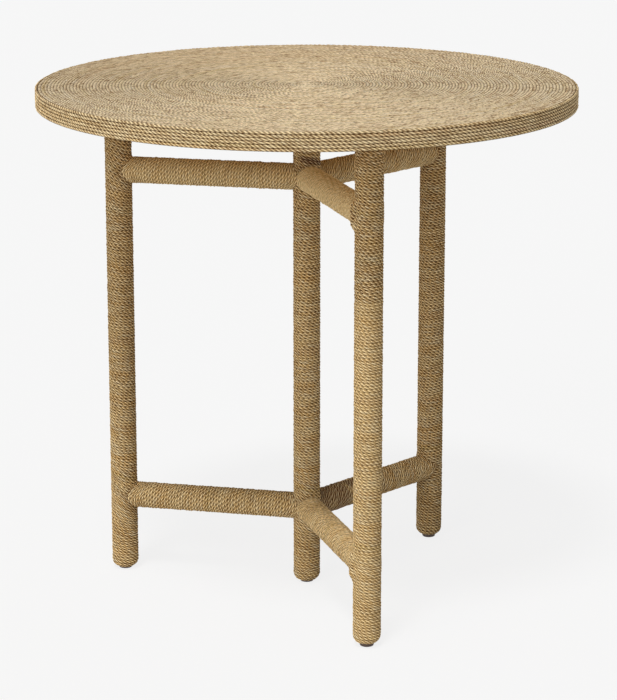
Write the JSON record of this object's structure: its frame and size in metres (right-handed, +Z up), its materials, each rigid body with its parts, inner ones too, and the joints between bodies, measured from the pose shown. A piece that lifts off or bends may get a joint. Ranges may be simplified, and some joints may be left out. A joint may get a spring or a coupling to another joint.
{
  "type": "round table",
  "caption": "Round occasional table wound with twisted grass cord: a disc top on a centre post and outer legs joined by radial stretchers at two heights.",
  "frame": {"origin": "on the floor under the centre post, at the middle of the table's footprint", "axes": "+Z up along the centre post; -Y towards the front leg, with the left and right legs at 150 and 30 degrees from +X"},
  "size_m": [0.762, 0.762, 0.738],
  "materials": {
    "cord": "matte",
    "panel": "matte",
    "dowel": "matte",
    "glide": "matte",
    "screw": "satin"
  },
  "bodies": {
    "root": {"top_panel": "panel", "rim_winding": "cord", "top_winding": "cord", "top_winding_centre": "cord", "top_screw_centre": "screw", "centre_glide": "glide", "top_screw_front": "screw", "front_glide": "glide", "top_screw_left": "screw", "left_glide": "glide", "top_screw_right": "screw", "right_glide": "glide", "centre_post": "dowel", "centre_post_winding": "cord", "front_leg": "dowel", "front_leg_winding": "cord", "left_leg": "dowel", "left_leg_winding": "cord", "right_leg": "dowel", "right_leg_winding": "cord", "lower_stretcher_front": "dowel", "lower_stretcher_front_winding": "cord", "lower_stretcher_left": "dowel", "lower_stretcher_left_winding": "cord", "lower_stretcher_right": "dowel", "lower_stretcher_right_winding": "cord", "upper_stretcher_front": "dowel", "upper_stretcher_front_winding": "cord", "upper_stretcher_left": "dowel", "upper_stretcher_left_winding": "cord", "upper_stretcher_right": "dowel", "upper_stretcher_right_winding": "cord"}
  },
  "joints": []
}
